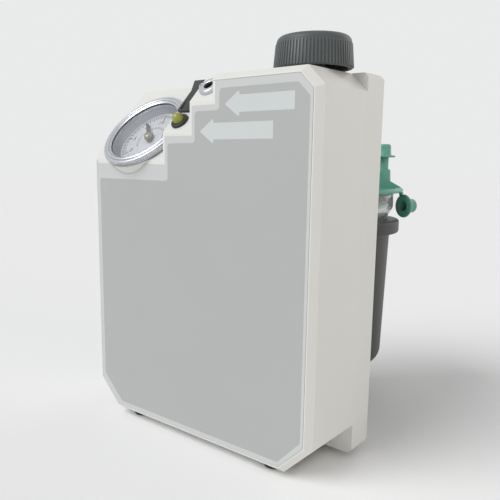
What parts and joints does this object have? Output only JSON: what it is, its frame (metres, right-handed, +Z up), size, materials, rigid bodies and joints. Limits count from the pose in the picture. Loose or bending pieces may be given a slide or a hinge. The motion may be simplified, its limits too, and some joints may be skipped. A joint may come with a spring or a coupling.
{
  "type": "vacuum aspirator",
  "caption": "Portable battery vacuum aspirator: flat moulded case with sloping gauge and switch terraces, control knob, inner pump, and a lidded canister in a cup behind.",
  "frame": {"origin": "middle of the footprint, on the surface that the feet stand on", "axes": "+Z up; -Y faces the user, out of the label face; +X to the user's right"},
  "size_m": [0.19, 0.1952, 0.263],
  "materials": {
    "case_plastic": "fine satin texture, off-white",
    "label_film": "printed film, matt",
    "black_plastic": "moulded, fine texture",
    "knob_plastic": "ribbed, satin",
    "grey_plastic": "moulded, satin",
    "bezel_metal": "bright, knurled",
    "steel": "machined",
    "brass": "satin",
    "dial_white": "matt print",
    "clear_lens": "clear, polished",
    "clear_jar": "clear moulded plastic",
    "lamp_plastic": "translucent, glossy",
    "rubber": "matt",
    "teal_plastic": "moulded, satin",
    "battery_case": "moulded",
    "board_green": "solder mask",
    "motor_steel": "plated can",
    "cast_metal": "die cast",
    "float_white": "smooth"
  },
  "bodies": {
    "case": {"front_shell": "case_plastic", "rear_shell": "case_plastic", "front_label": "label_film", "case_screws": "steel", "rubber_feet": "rubber", "foot_screws": "steel", "gauge_case": "black_plastic", "gauge_bezel": "bezel_metal", "gauge_lens": "clear_lens", "gauge_dial": "dial_white", "gauge_plate": "brass", "bourdon_tube": "brass", "lamp_holder": "black_plastic", "lamp_lens": "lamp_plastic", "switch_body": "black_plastic", "switch_terminals": "brass", "socket_body": "bezel_metal", "socket_pin": "steel", "socket_nut": "steel", "valve_body": "brass", "valve_nut": "steel", "pump_motor": "motor_steel", "pump_body": "cast_metal", "pump_rod": "grey_plastic", "diaphragm": "rubber", "pump_head": "cast_metal", "head_screws": "steel", "pump_bracket": "steel", "battery": "battery_case", "battery_terminals": "brass", "battery_strap": "steel", "control_board": "board_green", "board_parts": "black_plastic", "vacuum_hose": "rubber", "inlet_fitting": "grey_plastic", "exhaust_muffler": "grey_plastic", "cup_bracket": "grey_plastic", "bracket_screws": "steel", "canister_cup": "grey_plastic"},
    "needle": {"gauge_needle": "steel"},
    "sector": {"gauge_sector": "brass"},
    "rocker": {"switch_rocker": "black_plastic"},
    "knob": {"vacuum_knob": "knob_plastic", "valve_stem": "steel"},
    "crank": {"pump_shaft": "steel"},
    "jar": {"canister_jar": "clear_jar"},
    "lid": {"canister_lid": "teal_plastic", "lid_seal": "rubber", "float_cage": "float_white", "spare_cap": "teal_plastic", "cap_tether": "teal_plastic"},
    "cap": {"port_cap": "teal_plastic"},
    "float": {"float_ball": "float_white"}
  },
  "joints": [
    {"name": "needle_turn", "type": "hinge", "parent": "case", "child": "needle", "pos_m": [-0.0577, -0.07073, 0.20867], "axis": [0, -0.7071, 0.7071], "range_deg": [-175, 95]},
    {"name": "sector_turn", "type": "hinge", "parent": "case", "child": "sector", "pos_m": [-0.0577, -0.07871, 0.18683], "axis": [0, -0.7071, 0.7071], "range_deg": [-15.83, 29.16]},
    {"name": "rocker_tilt", "type": "hinge", "parent": "case", "child": "rocker", "pos_m": [-0.0108, -0.06606, 0.23134], "axis": [-1, 0, 0], "range_deg": [0, 24]},
    {"name": "knob_turn", "type": "hinge", "parent": "case", "child": "knob", "pos_m": [0.067, -0.0529, 0.242], "axis": [0, 0, 1], "range_deg": [0, 900]},
    {"name": "crank_spin", "type": "hinge", "parent": "case", "child": "crank", "pos_m": [-0.011, -0.0529, 0.116], "axis": [1, 0, 0], "continuous": true},
    {"name": "jar_lift", "type": "slide", "parent": "case", "child": "jar", "axis": [0, 0, 1], "range_m": [0, 0.12]},
    {"name": "lid_lift", "type": "slide", "parent": "jar", "child": "lid", "axis": [0, 0, 1], "range_m": [0, 0.04]},
    {"name": "cap_pull", "type": "slide", "parent": "lid", "child": "cap", "axis": [0, 0, 1], "range_m": [0, 0.015]},
    {"name": "float_rise", "type": "slide", "parent": "lid", "child": "float", "axis": [0, 0, 1], "range_m": [0, 0.0115]}
  ],
  "couplings": [
    {"joint": "needle_turn", "follows": "sector_turn", "ratio": -6}
  ]
}
